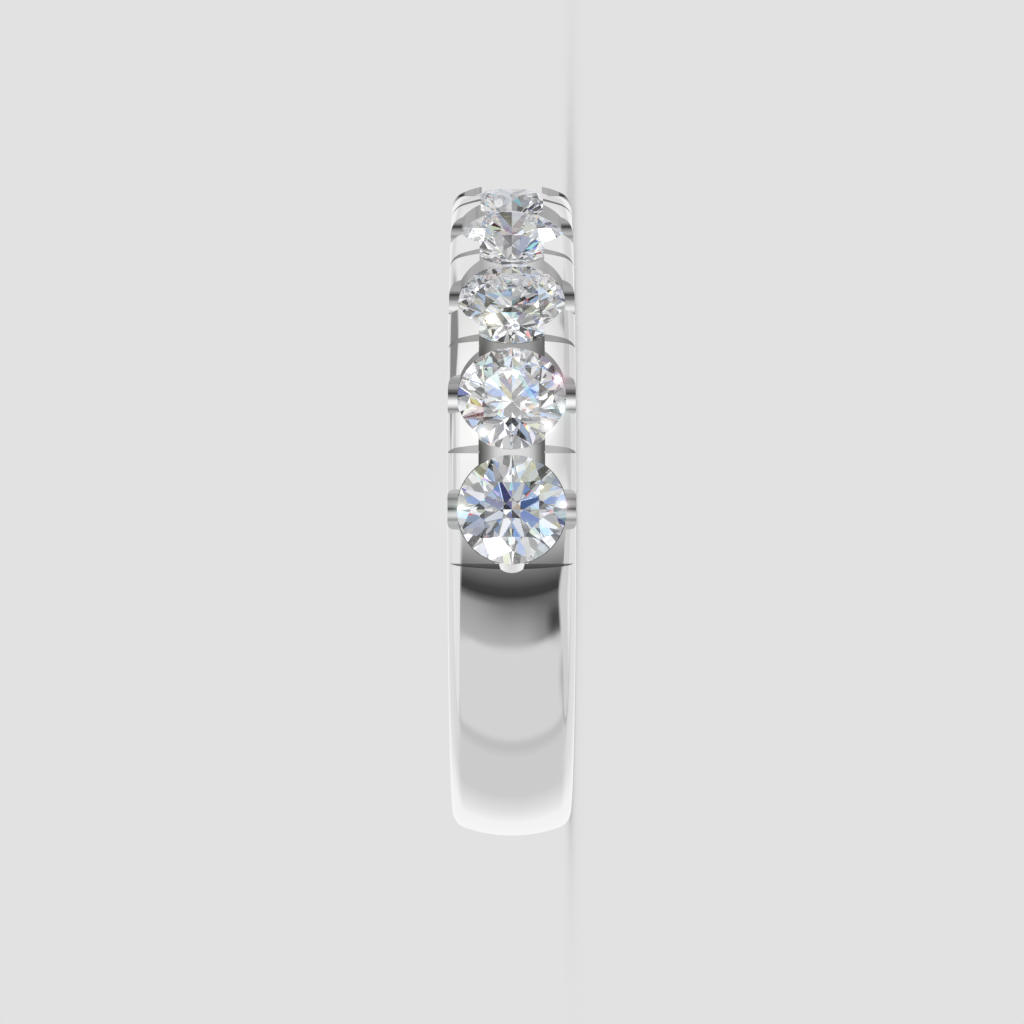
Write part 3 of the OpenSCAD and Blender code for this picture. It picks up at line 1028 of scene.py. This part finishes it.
# %% Small lamps for the flashes: swing, lean, radius, brightness and colour
lamps = [
    (-59.7, -19.7, 1.5, 7, (1, 1, 1)),
    (33.35, 70.3, 0.045, 130, (1, 0.8, 0.93)),
    (33.2, -70.3, 0.045, 110, (0.72, 1, 0.95)),
    (23.8, 3.4, 0.7, 1.7, (1, 1, 0.8)),
    (23.8, -3.4, 0.7, 1.7, (1, 1, 0.8)),
    (35.6, 54.3, 0.03, 90, (0.85, 1, 0.4)),
    (83.8, 43.7, 0.09, 60, (1, 0.35, 0.55)),
    (48.3, 67.9, 0.045, 60, (0.6, 1, 0.92)),
    (-5.3, 59.7, 0.06, 60, (1, 0.98, 0.95)),
    (-25.6, -38.2, 0.06, 60, (1, 1, 0.75)),
    (25.2, -22.1, 0.09, 40, (1, 0.92, 0.5)),
    (111.3, -32.1, 3, 2.4, (1, 1, 1)),
    (111.3, 32.1, 3, 5, (1, 1, 1)),
]


def tent_direction(swing_angle, lean_angle):
    """Direction of a place on the tent's map, in the picture's own frame."""
    swing_angle, lean_angle = math.radians(swing_angle), math.radians(lean_angle)
    flat_part = math.cos(lean_angle)
    return (math.sin(lean_angle), flat_part * math.sin(swing_angle), flat_part * math.cos(swing_angle))


SOFT_RIM = 0.2         # softness of a disc's rim, as a share of its radius


def disc(swing_angle, lean_angle, radius):
    """1 inside a round card or lamp and 0 outside it."""
    away = vector_maths("DISTANCE", in_picture, tent_direction(swing_angle, lean_angle), out="Value")
    radius *= DEGREE
    return 1 - soft_step(away, radius * (1 - SOFT_RIM), radius * (1 + SOFT_RIM))


for swing_angle, lean_angle, radius, colour in stone_cards:
    stone_view = mix_colour(disc(swing_angle, lean_angle, radius), stone_view, colour)
for swing_angle, lean_angle, radius, strength, colour in lamps:
    stone_view = mix_colour(
        disc(swing_angle, lean_angle, radius), stone_view, tuple(strength * share for share in colour))
FEW_TURNS, MANY_TURNS = 6, 14   # a ray that turns often inside a stone fades to a pale tone
path = add(sky, "ShaderNodeLightPath", {}, {}, "Is Camera Ray")
many_turns = share_of_range(path.out("Ray Depth"), FEW_TURNS, MANY_TURNS)
stone_view = mix_colour(many_turns, stone_view, (0.74, 0.75, 0.77))
print(len(lamps), "lamps")

# %% [markdown]
# ## One tent for each kind of ray
# The light path tells which surface a ray comes from. A ray from a stone counts as singular, since the
# stones have no roughness. The mixes are of shaders and not of colours, because the renderer then works
# out only the tent that a ray asks for, which makes a picture several times faster.

# %% Put the tent together
FLOOR_SHARE = 0.8      # how much light the floor gives back


def grey(level):
    return (level, level, level, 1)


def lit(colour):
    """Light of that colour, with no object there."""
    return add(sky, "ShaderNodeBackground", {}, {"Color": colour, "Strength": 1.0})


seen = either(path.out("Is Singular Ray"), lit(metal_view), lit(stone_view))
seen = either(path.out("Is Diffuse Ray"), seen, lit(grey(wall_level / FLOOR_SHARE)))
seen = either(path, seen, lit(grey(wall_level)))
finish(seen, "World")
world.cycles.sampling_method = "NONE"      # a sampled world can't tell the kinds of ray apart
print("the tent has", len(sky.nodes), "nodes")

# %% [markdown]
# ## The floor
# The ring lies on pale paper that runs out to the wall with no edge. Near the ring the paper is dull and
# takes the ring's shadow. Further out it glows as bright as the wall, so that the two meet unseen. A
# curved sweep of paper, as in a studio, would do as well, but its curve would show from some sides. The
# floor is hidden from mirrored and refracted rays, as the band is.

# %% The floor
floor_mesh = bpy.data.meshes.new("floor")
FLOOR_REACH = 6.0      # metres
FADE = (0.05, 0.3)     # metres from the ring over which dull paper turns to glowing paper
floor_mesh.from_pydata(
    [(x * FLOOR_REACH, y * FLOOR_REACH, 0) for x, y in arc((0, 0), 1, 0, 2 * math.pi, ROUND_STEPS)[:-1]],
    [], [tuple(range(ROUND_STEPS))])
floor = put_in_scene("floor", floor_mesh)
paper = bpy.data.materials.new("pale_paper")
sheet_tree = new_material(paper)
spot = add(sheet_tree, "ShaderNodeTexCoord", {}, {}, "Object")
away = add(sheet_tree, "ShaderNodeVectorMath", {"operation": "LENGTH"}, {0: spot}, "Value")
far = soft_step(away, *FADE)
near_floor = add(sheet_tree, "ShaderNodeBsdfDiffuse", {}, {"Color": grey(FLOOR_SHARE)})
far_floor = add(sheet_tree, "ShaderNodeEmission", {}, {"Color": grey(wall_level), "Strength": 1})
finish(either(far, near_floor, far_floor))
floor_mesh.materials.append(paper)
floor.visible_glossy = False
floor.visible_transmission = False

# %% [markdown]
# ## The picture
# A ray can turn dozens of times before it leaves a brilliant, and one that is cut short leaves a black
# dot, so the limits on bounces are high. A turn inside a stone counts as glossy. A real lens spreads
# the brightest flashes a little, and the compositor's bloom does that to the finished picture.

# %% Colour as it is, and enough bounces for the stones
scene = bpy.context.scene
scene.view_settings.view_transform = "Standard"
BOUNCES = 60
scene.cycles.max_bounces = BOUNCES
scene.cycles.transmission_bounces = BOUNCES
scene.cycles.glossy_bounces = BOUNCES
scene.cycles.transparent_max_bounces = 64
scene.cycles.blur_glossy = 0.0

# %% A little glow round the brightest flashes
scene.use_nodes = True
after = scene.node_tree
after.nodes.clear()
picture = after.nodes.new("CompositorNodeRLayers")
glow = after.nodes.new("CompositorNodeGlare")
finished = after.nodes.new("CompositorNodeComposite")
glow.glare_type = "BLOOM"
glow.quality = "HIGH"
for name, value in {"Threshold": 1.6, "Strength": 1.0, "Size": 0.08}.items():
    glow.inputs[name].default_value = value
after.links.new(picture.outputs["Image"], glow.inputs["Image"])
after.links.new(glow.outputs["Image"], finished.inputs["Image"])
